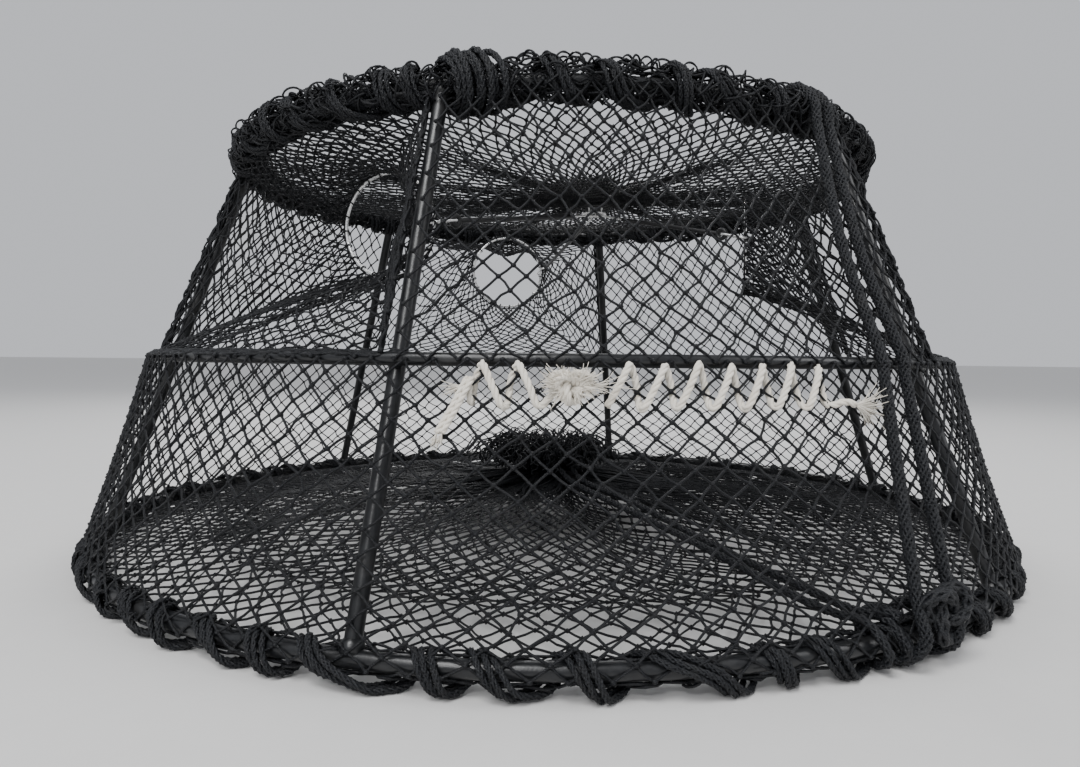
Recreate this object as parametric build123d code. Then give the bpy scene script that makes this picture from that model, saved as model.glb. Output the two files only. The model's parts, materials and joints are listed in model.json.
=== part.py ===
"""Tapered three-ring crab trap: a welded rod frame, netting, three tunnels with wire eyes on
rubber cords, rope lashings, a purse line and a rot cord. Millimetres, +Z up, standing on its
large ring, origin on the floor under the rings' axis.

A bearing is an angle in degrees about +Z, 0 at -Y and growing towards +X.
A height called h_ is above the plane of the large ring's centreline.
"""
from build123d import *
import math
import os

os.makedirs("parts", exist_ok=True)

# --- driving dimensions: frame -------------------------------------------------
large_ring_radius = 381.0
small_ring_radius = 270.0
frame_height = 308.0
mid_ring_height = 142.0
large_rod = 4.75
small_rod = 4.5
mid_rod = 3.6
leg_rod = 4.5
leg_count = 6
first_leg_bearing = 30.0
weld_gap = 0.05
weld_bead = 1.8

# --- driving dimensions: lashings ----------------------------------------------
large_lash_rope = 4.6
small_lash_rope = 4.9
large_wraps_per_bay = 10
small_wraps_per_bay = 8
lash_gap = 0.1
floor_flat = 0.3

# --- driving dimensions: netting -----------------------------------------------
net_thickness = 2.0
net_gap = 0.6
panel_half_angle = 28.0
panel_bearings = {"front_panel_net": 0.0, "rear_right_panel_net": 120.0, "rear_left_panel_net": -120.0}
base_rise = 22.0
base_hole_radius = 30.0
base_gather_radius = 46.0
base_gather_height = 40.0
top_dip = 12.0
top_hole_radius = 22.0
top_gather_radius = 19.0
top_gather_height = 17.0
top_gather_clearance = 7.0

# --- driving dimensions: tunnels, eyes and rubber cords --------------------------
eye_radius = 41.0
eye_wire = 1.2
eye_centre_radius = 182.0
eye_drop = 61.0
tunnel_end_gap = 6.0
throat_share = 0.5
throat_squeeze = 0.85
hitch_twine = 1.0
hitch_count = 12
hitch_start = 0.42
clip_wire = 0.9
clip_half_width = 4.5
clip_length = 24.0
clip_play = 0.3
eyelet_radius = 3.8
hub_x, hub_y = 41.0, -12.0
hub_drop = 25.0
hub_ring_radius = 10.0
hub_wire = 1.5
hook_wire = 0.9
hook_gap = 0.4
hook_shank = 22.0
hook_tip = 4.5
# name: tunnel bearing, bearing the eye faces, side of the eye the clip is on, cord radius
tunnels = {
    "left": (-60.0, -38.0, 1, 2.2),
    "right": (60.0, 59.0, -1, 1.8),
    "rear": (180.0, 180.0, -1, 1.8),
}

# --- driving dimensions: ropes and cords -----------------------------------------
side_rope = 3.8
side_rope_gap = 0.28
side_rope_bearings = {"side_rope_left": (20.6, 12.6), "side_rope_right": (23.6, 16.6)}
purse_rope = 2.9
purse_bearing = 8.0
purse_spacing = 12.0
rim_knot_size = (24.0, 15.0, 18.0)
rim_knot_bearing = 14.6
top_knot_size = (34.0, 20.0, 14.0)
top_knot_bearing = 22.0
top_knot_radius = 236.0
draw_cord = 1.6
rot_cord = 1.8
rot_stitch_drop = 20.0
rot_stitch_top = 4.0
rot_knot_bearing = -14.2
rot_knot_size = (52.0, 20.0, 34.0)
rot_knot_drop = 14.0
rot_knot_gap = 1.65
rot_lacing_bearings = (-8.5, 15.0)
rot_lacing_stitches = 7
rot_tail_bearings = (-19.5, -24.5)
rot_tail_drop = 34.0

# --- sizes worked out -------------------------------------------------------------
large_lash_reach = large_rod + lash_gap + 2 * large_lash_rope
small_lash_reach = small_rod + lash_gap + 2 * small_lash_rope
base_z = large_lash_reach - floor_flat
taper = (large_ring_radius - small_ring_radius) / frame_height
leg_slant = math.cos(math.atan(taper))
seam_turn = first_leg_bearing + 0.3 * 360.0 / leg_count - 90.0
mid_net_gap = 1.665 * taper  # steeper netting stands further off the middle ring
hub_height = frame_height - hub_drop
eye_height = frame_height - eye_drop


def leg_radius_at(h):
    return large_ring_radius - taper * h


mid_ring_radius = leg_radius_at(mid_ring_height) + (leg_rod + mid_rod + weld_gap) / leg_slant
net_at_mid = mid_ring_radius + mid_rod + mid_net_gap
lower_net_start_h = large_lash_reach + net_gap
lower_net_foot = leg_radius_at(lower_net_start_h) + leg_rod / leg_slant + 4 * net_gap
upper_net_end_h = frame_height - small_lash_reach - net_gap
upper_net_top = leg_radius_at(upper_net_end_h) + leg_rod / leg_slant + 2 * net_gap
upper_slope = (net_at_mid - upper_net_top) / (upper_net_end_h - mid_ring_height)
lower_slope = (lower_net_foot - net_at_mid) / (mid_ring_height - lower_net_start_h)


def lower_net_radius(h):
    """Inner face of the lower netting."""
    share = (h - lower_net_start_h) / (mid_ring_height - lower_net_start_h)
    return lower_net_foot + (net_at_mid - lower_net_foot) * share


def upper_net_radius(h):
    """Inner face of the upper netting."""
    share = (h - mid_ring_height) / (upper_net_end_h - mid_ring_height)
    return net_at_mid + (upper_net_top - net_at_mid) * share


def at(radius, bearing, h):
    a = math.radians(bearing)
    return Vector(radius * math.sin(a), -radius * math.cos(a), base_z + h)


def outward(bearing):
    a = math.radians(bearing)
    return Vector(math.sin(a), -math.cos(a), 0)


def sideways(bearing):
    a = math.radians(bearing)
    return Vector(math.cos(a), math.sin(a), 0)


def rod_between(start, end, radius):
    way = end - start
    return Solid.make_cylinder(radius, way.length, Plane(origin=start, z_dir=way))


def rod_along(points, radii, radius):
    path = FilletPolyline(*points, radius=radii)
    return sweep(Plane(origin=path @ 0, z_dir=path % 0) * Circle(radius), path=path)


def group(solids):
    return Compound(children=[s if isinstance(s, Solid) else s.solid() for s in solids])


def strip(near, far, flip=False):
    """Triangles that join one closed loop of points to the next."""
    faces = []
    for i in range(len(near)):
        j = (i + 1) % len(near)
        for corners in ([near[i], near[j], far[j]], [near[i], far[j], far[i]]):
            faces.append(Face(Wire.make_polygon(corners[::-1] if flip else corners)))
    return faces


def closed_skin(outer, inner):
    """A thin solid between two sets of loops, closed at both rims."""
    faces = strip(outer[-1], inner[-1]) + strip(inner[0], outer[0])
    for near, far in zip(outer, outer[1:]):
        faces += strip(near, far)
    for near, far in zip(inner, inner[1:]):
        faces += strip(near, far, flip=True)
    return Solid(Shell(faces))


def lump(size, centre, bearing):
    """A knot's outer shape: an egg with a flattened middle, turned to a bearing."""
    x, y, z = size
    egg = scale(Sphere(0.5), by=(x, y, z))
    return Location(centre, (0, 0, bearing)) * egg


def wraps(ring_radius, rod, rope, per_bay, h):
    """Closed turns of rope round the rod, evenly spaced and clear of the legs."""
    turns = []
    count = per_bay * leg_count
    for i in range(count):
        bearing = first_leg_bearing + 360.0 * (i + 0.5) / count
        place = Plane(origin=at(ring_radius, bearing, h), z_dir=sideways(bearing))
        turns.append(place * Torus(rod + lash_gap + rope, rope))
    return turns


# --- frame ---------------------------------------------------------------------------
def ring(radius, rod, h):
    """A closed ring whose seam lies between two legs."""
    return Location((0, 0, base_z + h), (0, 0, seam_turn)) * Torus(radius, rod)


large_ring = ring(large_ring_radius, large_rod, 0)
mid_ring = ring(mid_ring_radius, mid_rod, mid_ring_height)
small_ring = ring(small_ring_radius, small_rod, frame_height)
parts = {"large_ring": large_ring, "mid_ring": mid_ring, "small_ring": small_ring}

welds = []
for i in range(leg_count):
    bearing = first_leg_bearing + 360.0 * i / leg_count
    foot, head = at(large_ring_radius, bearing, 0), at(small_ring_radius, bearing, frame_height)
    leg = rod_between(foot, head, leg_rod) - large_ring - small_ring
    parts[f"leg_{i + 1}"] = leg
    up = (head - foot).normalized()
    for corner, hoop in ((foot + up * large_rod, large_ring), (head - up * small_rod, small_ring)):
        welds.append(Pos(corner) * Sphere(leg_rod + weld_bead) - hoop - leg)
    touch = at(leg_radius_at(mid_ring_height) + leg_rod / leg_slant, bearing, mid_ring_height)
    welds.append(Pos(touch) * Sphere(mid_rod + weld_bead) - mid_ring - leg)
parts["frame_welds"] = group(welds)

# --- lashings ------------------------------------------------------------------------
below_floor = Pos(0, 0, -50) * Box(1000, 1000, 100)
large_turns = wraps(large_ring_radius, large_rod, large_lash_rope, large_wraps_per_bay, 0)
parts["large_ring_lashing"] = group([turn - below_floor for turn in large_turns])
small_turns = wraps(small_ring_radius, small_rod, small_lash_rope, small_wraps_per_bay, frame_height)
parts["small_ring_lashing"] = group(small_turns)


# --- netting -------------------------------------------------------------------------
def net_band(profile_radius, h_low, h_high, bearing, arc):
    corners = [(profile_radius(h_low), h_low), (profile_radius(h_low) + net_thickness, h_low),
               (profile_radius(h_high) + net_thickness, h_high), (profile_radius(h_high), h_high)]
    section = Face(Wire.make_polygon([Vector(r, 0, base_z + h) for r, h in corners]))
    band = revolve(section, Axis.Z, arc)
    return Rot(0, 0, bearing - 90 - (arc / 2 if arc < 360 else 0)) * band


parts["lower_side_net"] = net_band(lower_net_radius, lower_net_start_h, mid_ring_height, 0, 360)
for name, bearing in panel_bearings.items():
    parts[name] = net_band(upper_net_radius, mid_ring_height + net_gap, upper_net_end_h,
                           bearing, 2 * panel_half_angle)


def circle_points(centre, radius, count=48):
    steps = [2 * math.pi * i / count for i in range(count)]
    return [centre + Vector(radius * math.sin(a), -radius * math.cos(a), 0) for a in steps]


def dished_net(rim_radius, rim_h, hole_centre, hole_radius):
    up = Vector(0, 0, net_thickness)
    rim = circle_points(Vector(0, 0, base_z + rim_h), rim_radius)
    hole = circle_points(hole_centre, hole_radius)
    return closed_skin([rim, hole], [[p + up for p in rim], [p + up for p in hole]])


base_rim_radius = large_ring_radius - large_lash_reach - net_gap - 2
base_rim_h = 6.0
base_hole_centre = Vector(0, 0, base_z + base_rise)
parts["base_net"] = dished_net(base_rim_radius, base_rim_h, base_hole_centre, base_hole_radius)
top_rim_radius = small_ring_radius - small_lash_reach - net_gap
top_hole_centre = Vector(hub_x, hub_y, base_z + frame_height - top_dip)
parts["top_net"] = dished_net(top_rim_radius, frame_height - 2, top_hole_centre, top_hole_radius)

gather_foot = base_rise + net_thickness + net_gap
neck = Pos(0, 0, base_z + gather_foot) * Cone(
    base_gather_radius, 0.6 * base_gather_radius, base_gather_height,
    align=(Align.CENTER, Align.CENTER, Align.MIN))
parts["base_net_gather"] = fillet(neck.edges().filter_by(GeomType.CIRCLE), 8)
bunch = Pos(hub_x, hub_y, base_z + hub_height + top_gather_clearance) * Cone(
    0.7 * top_gather_radius, top_gather_radius, top_gather_height,
    align=(Align.CENTER, Align.CENTER, Align.MIN))
parts["top_net_gather"] = fillet(bunch.edges().filter_by(GeomType.CIRCLE), 3)


# --- tunnels, eyes and rubber cords -----------------------------------------------------
def mouth_loop(bearing, shrink):
    """Sixteen points round a tunnel's mouth: up to the legs each side, mid ring to small ring."""
    low, high = mid_ring_height + 6, upper_net_end_h
    shares = [-1, -0.5, 0, 0.5, 1]
    bottom = [(s, low) for s in shares]
    right = [(1, low + (high - low) * k / 4) for k in (1, 2, 3)]
    top = [(-s, high) for s in shares]
    left = [(-1, high - (high - low) * k / 4) for k in (1, 2, 3)]
    loop = [at(upper_net_radius(h), bearing + s * panel_half_angle, h)
            for s, h in bottom + right + top + left]
    centre = sum(loop, Vector(0, 0, 0)) * (1 / len(loop))
    return [centre + (p - centre) * (1 - shrink) for p in loop]


def eye_loop(centre, facing, radius):
    across = sideways(facing)
    steps = [math.radians(225 + 22.5 * k) for k in range(16)]
    return [centre + across * (radius * math.cos(a)) + Vector(0, 0, radius * math.sin(a)) for a in steps]


def throat_loop(mouth, eye):
    loop = [m + (e - m) * throat_share for m, e in zip(mouth, eye)]
    centre = sum(loop, Vector(0, 0, 0)) * (1 / len(loop))
    return [centre + (p - centre) * throat_squeeze for p in loop]


hub = Vector(hub_x, hub_y, base_z + hub_height)
parts["hub_ring"] = Pos(hub) * Torus(hub_ring_radius, hub_wire)
pivots = {}

for name, (bearing, facing, side, cord) in tunnels.items():
    eye = at(eye_centre_radius, bearing, eye_height)
    end = eye + outward(facing) * tunnel_end_gap
    outer, inner = mouth_loop(bearing, 0), mouth_loop(bearing, net_thickness / 70)
    outer_end = eye_loop(end, facing, eye_radius + net_thickness)
    inner_end = eye_loop(end, facing, eye_radius)
    parts[f"{name}_tunnel_net"] = closed_skin(
        [outer, throat_loop(outer, outer_end), outer_end],
        [inner, throat_loop(inner, inner_end), inner_end])

    eye_plane = Plane(origin=eye, x_dir=sideways(facing), z_dir=outward(facing))
    parts[f"{name}_eye_ring"] = eye_plane * Torus(eye_radius, eye_wire)
    hitches = []
    for k in range(hitch_count):
        a = math.radians(360.0 * (k + hitch_start) / hitch_count)
        spoke = sideways(facing) * math.cos(a) + Vector(0, 0, math.sin(a))
        along = sideways(facing) * -math.sin(a) + Vector(0, 0, math.cos(a))
        place = Plane(origin=eye + spoke * eye_radius, z_dir=along)
        hitches.append(place * Torus(eye_wire + hitch_twine + lash_gap, hitch_twine))
    parts[f"{name}_eye_hitching"] = group(hitches)

    wire = eye + sideways(facing) * (side * eye_radius)
    level = (hub - wire)
    level = Vector(level.X, level.Y, 0).normalized()
    grip = hub - level * hub_ring_radius
    pull = (grip - wire).normalized()
    across = level.cross(Vector(0, 0, 1))
    rise = across.cross(pull).normalized()
    back = eye_wire + clip_wire + clip_play
    link_centre = wire + pull * (clip_length / 2 - back)
    link_plane = Plane(origin=link_centre, x_dir=pull, z_dir=rise)
    link_path = SlotOverall(clip_length, 2 * clip_half_width).wire()
    link_wire = link_plane * link_path
    start = link_wire @ 0
    parts[f"{name}_eye_clip"] = sweep(
        Plane(origin=start, z_dir=link_wire % 0) * Circle(clip_wire), path=link_wire)

    pivot = wire + pull * (clip_length - back)
    drop = hub_wire + hook_wire + hook_gap
    cord_end = grip - pull * hook_shank - rise * drop
    eyelet = Plane(origin=pivot, z_dir=across) * Torus(eyelet_radius, cord)
    way = (cord_end - pivot).normalized()
    parts[f"{name}_rubber_cord"] = eyelet + rod_between(pivot + way * eyelet_radius, cord_end, cord)
    parts[f"{name}_cord_hook"] = rod_along(
        [cord_end, grip - rise * drop + pull * drop, grip + rise * hook_tip + pull * drop],
        [drop * 0.9], hook_wire)
    pivots[f"{name}_eye_swing"] = (at(net_at_mid, bearing, mid_ring_height), sideways(bearing) * -1)
    pivots[f"{name}_cord_unhook"] = (pivot, Vector(0, 0, 1).cross(level))

# --- ropes, knots and cords --------------------------------------------------------------
for name, (high_bearing, low_bearing) in side_rope_bearings.items():
    off = net_thickness + (side_rope_gap + side_rope) / math.cos(math.atan(upper_slope))
    turn_bearing = high_bearing + (low_bearing - high_bearing) * 0.45
    points = [at(upper_net_radius(upper_net_end_h - 4) + off, high_bearing, upper_net_end_h - 4),
              at(net_at_mid + off + 3, turn_bearing, mid_ring_height),
              at(lower_net_radius(lower_net_start_h + 24) + off, low_bearing, lower_net_start_h + 24)]
    parts[name] = rod_along(points, [60], side_rope)

rim_knot_place = at(lower_net_foot + net_thickness + net_gap + rim_knot_size[1] / 2, rim_knot_bearing,
                    lower_net_start_h + 8)
parts["rim_knot"] = lump(rim_knot_size, rim_knot_place, rim_knot_bearing)
parts["top_knot"] = lump(
    top_knot_size,
    at(top_knot_radius, top_knot_bearing, frame_height + net_thickness + net_gap + top_knot_size[2] / 2),
    top_knot_bearing)

for name, side in (("purse_rope_left", -1), ("purse_rope_right", 1)):
    shift = sideways(purse_bearing) * (side * purse_spacing / 2)
    near = at(base_gather_radius + 4, purse_bearing, base_rise + net_thickness + net_gap + purse_rope + 1)
    far = at(base_rim_radius, purse_bearing, base_rim_h + net_thickness + net_gap + purse_rope + 1)
    parts[name] = rod_between(near + shift, far + shift, purse_rope)

draw_start = Vector(hub_x, hub_y, base_z + frame_height + net_thickness + 1 + draw_cord)
draw_points = [draw_start + Vector(x, y, z) for x, y, z in
               ((-top_gather_radius - 2, 2, 0), (-48, 10, 2), (-80, 34, 2), (-100, 72, 2))]
parts["top_draw_cord"] = rod_along(draw_points, [30, 38], draw_cord)


def on_lower_net(bearing, drop, radius):
    h = mid_ring_height - drop
    return at(lower_net_radius(h) + net_thickness + net_gap + radius, bearing, h)


def zigzag(first, last, stitches):
    step = (last - first) / (2 * stitches)
    return [on_lower_net(first + step * k, rot_stitch_top if k % 2 else rot_stitch_drop, rot_cord)
            for k in range(2 * stitches + 1)]


lacing = zigzag(*rot_lacing_bearings, rot_lacing_stitches)
parts["rot_cord_lacing"] = rod_along(lacing, [rot_cord * 1.2] * (len(lacing) - 2), rot_cord)
tail_first, tail_last = rot_tail_bearings
parts["rot_cord_tail"] = rod_along(
    [on_lower_net(tail_first, rot_stitch_top, rot_cord),
     on_lower_net((tail_first + tail_last) / 2 - 0.6, rot_tail_drop / 2, rot_cord),
     on_lower_net(tail_last, rot_tail_drop, rot_cord)], [18], rot_cord)
parts["rot_cord_knot"] = lump(
    rot_knot_size,
    on_lower_net(rot_knot_bearing, rot_knot_drop,
                 math.hypot(rot_knot_size[1], rot_knot_size[2] * lower_slope) / 2 + rot_knot_gap),
    rot_knot_bearing)

for name, (pivot, axis) in pivots.items():
    print(name, "pivot", tuple(pivot), "axis", tuple(axis))
for name, shape in parts.items():
    export_step(shape, f"parts/{name}.step")
print(len(parts), "nodes, box", Compound(children=[p for p in parts.values()]).bounding_box())
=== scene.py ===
"""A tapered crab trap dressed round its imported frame: knotted netting, braided rope lashings, a
purse line, a cotton rot cord, dipped rod and bright wire. Metres, +Z up.

A bearing is an angle about +Z, 0 at -Y and growing towards +X. A height is above the plane of
the large ring's centreline.
"""
import json
import math

import bpy
import numpy as np
from mathutils import Matrix, Vector


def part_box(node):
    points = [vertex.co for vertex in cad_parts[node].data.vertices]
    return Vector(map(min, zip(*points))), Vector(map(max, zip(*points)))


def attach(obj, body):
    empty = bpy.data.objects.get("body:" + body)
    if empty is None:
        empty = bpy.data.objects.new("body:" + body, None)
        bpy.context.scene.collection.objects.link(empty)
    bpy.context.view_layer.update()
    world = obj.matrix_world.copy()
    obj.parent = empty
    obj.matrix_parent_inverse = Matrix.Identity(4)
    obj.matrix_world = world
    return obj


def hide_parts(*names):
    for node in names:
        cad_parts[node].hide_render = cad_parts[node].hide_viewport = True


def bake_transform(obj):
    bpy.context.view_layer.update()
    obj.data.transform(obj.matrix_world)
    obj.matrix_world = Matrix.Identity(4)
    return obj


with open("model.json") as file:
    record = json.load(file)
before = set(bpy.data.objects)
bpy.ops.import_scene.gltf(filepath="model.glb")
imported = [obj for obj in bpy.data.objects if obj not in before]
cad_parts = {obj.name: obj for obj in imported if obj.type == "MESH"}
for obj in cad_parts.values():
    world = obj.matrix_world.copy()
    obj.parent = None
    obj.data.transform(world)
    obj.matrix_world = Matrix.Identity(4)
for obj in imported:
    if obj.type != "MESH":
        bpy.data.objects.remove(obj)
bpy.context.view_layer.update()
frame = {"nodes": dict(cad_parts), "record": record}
MM = 0.001


# --- what the frame says -------------------------------------------------------------
def ring_of(node):
    """(centreline radius, rod radius, height of the plane) of a ring that lies flat."""
    low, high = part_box(node)
    rod = (high.z - low.z) / 2
    return (high.x - low.x) / 2 - rod, rod, (high.z + low.z) / 2


def middle(node):
    """The middle of a node's box."""
    low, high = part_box(node)
    return np.array((low + high) / 2)


large_radius, large_rod, floor_gap = ring_of("large_ring")
mid_radius, mid_rod, mid_level = ring_of("mid_ring")
small_radius, small_rod, small_level = ring_of("small_ring")
mid_height, frame_height = mid_level - floor_gap, small_level - floor_gap
hub = middle("hub_ring")

# --- the netmaker's sizes -------------------------------------------------------------
twine = 0.72 * MM
mesh_bar = 11.8 * MM
meshes_round = 126
lash_strand = 2.0 * MM
side_rope = 3.8 * MM
purse_rope = 2.9 * MM
cotton = 2.0 * MM
fibre = 0.28 * MM
eye_radius = 41 * MM
eye_wire = 1.2 * MM
eye_seam = eye_radius + eye_wire + 1.1 * MM
net_over_large, net_over_mid, net_over_small = 1.6 * MM, 0.9 * MM, 2.5 * MM
panel_half, mouth_half = math.radians(29.4), math.radians(29.2)
panel_sag, skirt_sag = 9 * MM, 3.5 * MM
tunnel_columns, tunnel_length = 46, 200 * MM
purse_mouth = 34 * MM
large_turns, small_turns = 60, 47
up = np.array([0, 0, 1.0])


def spot(radius, bearing, height):
    """Points at a radius, bearing and height, for numbers or arrays."""
    radius, bearing, height = np.broadcast_arrays(radius, bearing, height)
    return np.stack([radius * np.sin(bearing), -radius * np.cos(bearing), floor_gap + height], -1)


def unit(vectors):
    return vectors / np.maximum(np.linalg.norm(vectors, axis=-1, keepdims=True), 1e-12)


def outward(bearing):
    """The level direction away from the axis at a bearing, or at each of many."""
    bearing = np.asarray(bearing, float)
    return np.stack([np.sin(bearing), -np.cos(bearing), np.zeros_like(bearing)], -1)


def rightward(bearing):
    """The level direction in which a bearing grows."""
    return np.array([math.cos(bearing), math.sin(bearing), 0.0])


# --- finishes ---------------------------------------------------------------------------
class Socket:
    """An output socket that Python arithmetic works on."""

    def __init__(self, finish, out):
        self.finish, self.out = finish, out

    def _sum(self, operation, a, b):
        return self.finish.node("ShaderNodeMath", {"operation": operation}, {0: a, 1: b})

    def __add__(self, other):
        return self._sum("ADD", self, other)

    __radd__ = __add__

    def __sub__(self, other):
        return self._sum("SUBTRACT", self, other)

    def __rsub__(self, other):
        return self._sum("SUBTRACT", other, self)

    def __mul__(self, other):
        return self._sum("MULTIPLY", self, other)

    __rmul__ = __mul__

    def __pow__(self, other):
        return self._sum("POWER", self, other)


class Finish:
    """A material whose nodes are made by one method."""

    def __init__(self, name, **shader):
        self.material = bpy.data.materials.new(name)
        self.material.use_nodes = True
        self.tree = self.material.node_tree
        self.shader = self.tree.nodes["Principled BSDF"]
        for socket, value in shader.items():
            self.shader.inputs[socket.replace("_", " ")].default_value = value
        self.place = self.node("ShaderNodeTexCoord", output="Object")

    def node(self, kind, settings=None, links=None, output=0):
        """Any node: its settings first, then the value or link of each named socket."""
        made = self.tree.nodes.new(kind)
        for key, value in (settings or {}).items():
            setattr(made, key, value)
        for key, value in (links or {}).items():
            self.feed(made.inputs[key], value)
        return Socket(self, made.outputs[output])

    def feed(self, entry, value):
        if isinstance(value, Socket):
            self.tree.links.new(value.out, entry)
        elif entry.type == "RGBA" and len(value) == 3:
            entry.default_value = (*value, 1)
        else:
            entry.default_value = value

    def noise(self, scale, detail=3.0, rough=0.55):
        return self.node("ShaderNodeTexNoise", {"noise_dimensions": "3D"},
                         {"Vector": self.place, "Scale": scale, "Detail": detail, "Roughness": rough})

    def between(self, share, low, high):
        """0 at low and 1 at high, held there beyond them."""
        return self.node("ShaderNodeMapRange", {"clamp": True},
                         {"Value": share, "From Min": low, "From Max": high})

    def mix(self, share, first, second):
        return self.node("ShaderNodeMix", {"data_type": "RGBA"},
                         {"Factor": share, 6: first, 7: second}, output=2)

    def colour(self, value):
        self.feed(self.shader.inputs["Base Color"], value)

    def rough(self, value):
        self.feed(self.shader.inputs["Roughness"], value)

    def bump(self, height, distance):
        normal = self.node("ShaderNodeBump", links={"Height": height, "Distance": distance})
        self.feed(self.shader.inputs["Normal"], normal)


def dipped_rod():
    """Black vinyl dip: soft gloss, faint orange peel, scuffs and pale dust."""
    finish = Finish("vinyl_dip", IOR=1.5, Specular_IOR_Level=0.45)
    peel, scuff = finish.noise(900, 2), finish.noise(140, 6, 0.7)
    dust = finish.between(finish.noise(26, 5), 0.52, 0.78)
    base = finish.mix(finish.between(scuff, 0.45, 0.75), (0.006, 0.0065, 0.0075), (0.016, 0.017, 0.019))
    finish.colour(finish.mix(dust * 0.22, base, (0.12, 0.115, 0.105)))
    finish.rough(0.24 + scuff * 0.16 + dust * 0.2)
    finish.bump(peel * 0.6 + scuff * 0.4, 0.12 * MM)
    return finish.material


def net_twine():
    """Black braided twine: matt, a little sheen where the filaments catch the light."""
    finish = Finish("net_twine", Specular_IOR_Level=0.26)
    lay = finish.node("ShaderNodeTexWave", {"bands_direction": "DIAGONAL"},
                      {"Vector": finish.place, "Scale": 420.0, "Distortion": 5.0, "Detail": 2.0,
                       "Detail Scale": 2.5}, output="Fac")
    wear = finish.between(finish.noise(34, 6, 0.65), 0.5, 0.8)
    base = finish.mix(lay, (0.0025, 0.0028, 0.0038), (0.011, 0.012, 0.0145))
    finish.colour(finish.mix(wear * 0.3, base, (0.045, 0.045, 0.045)))
    finish.rough(0.5 + wear * 0.2)
    finish.bump(lay, 0.22 * MM)
    return finish.material


def braided_rope():
    """Black multifilament braid: fine filaments along each strand, with a satin sheen."""
    finish = Finish("braided_rope", Specular_IOR_Level=0.32)
    filaments = finish.noise(1500, 3, 0.6)
    yarn = finish.node("ShaderNodeTexWave", {"bands_direction": "DIAGONAL"},
                       {"Vector": finish.place, "Scale": 300.0, "Distortion": 7.0, "Detail": 3.0,
                        "Detail Scale": 2.0}, output="Fac")
    grit = finish.between(finish.noise(60, 6, 0.7), 0.54, 0.8)
    base = finish.mix(yarn * 0.6 + filaments * 0.4, (0.0022, 0.0025, 0.0035), (0.014, 0.0155, 0.019))
    finish.colour(finish.mix(grit * 0.25, base, (0.055, 0.053, 0.05)))
    finish.rough(0.42 + filaments * 0.2 + grit * 0.1)
    finish.bump(yarn * 0.7 + filaments * 0.3, 0.3 * MM)
    return finish.material


def cotton_cord():
    """Untreated cotton: warm white, fluffy, faintly soiled in the hollows."""
    finish = Finish("cotton_cord", Specular_IOR_Level=0.2, Sheen_Weight=0.3, Sheen_Roughness=0.6)
    fluff, soil = finish.noise(1300, 4, 0.7), finish.between(finish.noise(70, 5), 0.5, 0.8)
    base = finish.mix(fluff, (0.66, 0.60, 0.50), (0.90, 0.87, 0.80))
    finish.colour(finish.mix(soil * 0.4, base, (0.50, 0.42, 0.32)))
    finish.rough(0.85 + fluff * 0.1)
    finish.bump(fluff, 0.35 * MM)
    return finish.material


def plated_wire():
    """Bright zinc plate: drawn lines, small dull spots. Its near-white colour on a surface only partly
    metallic is a painted reflection that keeps the wire bright.
    """
    finish = Finish("plated_wire", Metallic=0.72)
    lines = finish.noise(700, 2)
    dull = finish.between(finish.noise(90, 5, 0.7), 0.5, 0.7)
    # painted reflection: the near-white colour, with Metallic 0.72, lets the diffuse share light the wire
    # up as a reflection would; the dull spots are the plate's own
    finish.colour(finish.mix(dull * 0.5, (0.96, 0.96, 0.955), (0.74, 0.74, 0.72)))
    finish.rough(0.2 + lines * 0.12 + dull * 0.2)
    finish.bump(lines, 0.03 * MM)
    return finish.material


def cord_rubber():
    """Smooth black latex cord with a light bloom."""
    finish = Finish("cord_rubber", Specular_IOR_Level=0.5)
    bloom = finish.between(finish.noise(55, 5), 0.48, 0.75)
    grain = finish.noise(1100, 2)
    finish.colour(finish.mix(bloom * 0.4, (0.009, 0.009, 0.010), (0.045, 0.045, 0.045)))
    finish.rough(0.34 + bloom * 0.25 + grain * 0.05)
    finish.bump(grain, 0.05 * MM)
    return finish.material


finishes = {
    "dipped_rod": dipped_rod(),
    "netting": net_twine(),
    "twine": net_twine(),
    "braided_rope": braided_rope(),
    "cotton_cord": cotton_cord(),
    "plated_wire": plated_wire(),
    "rubber_cord": cord_rubber(),
}


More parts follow.
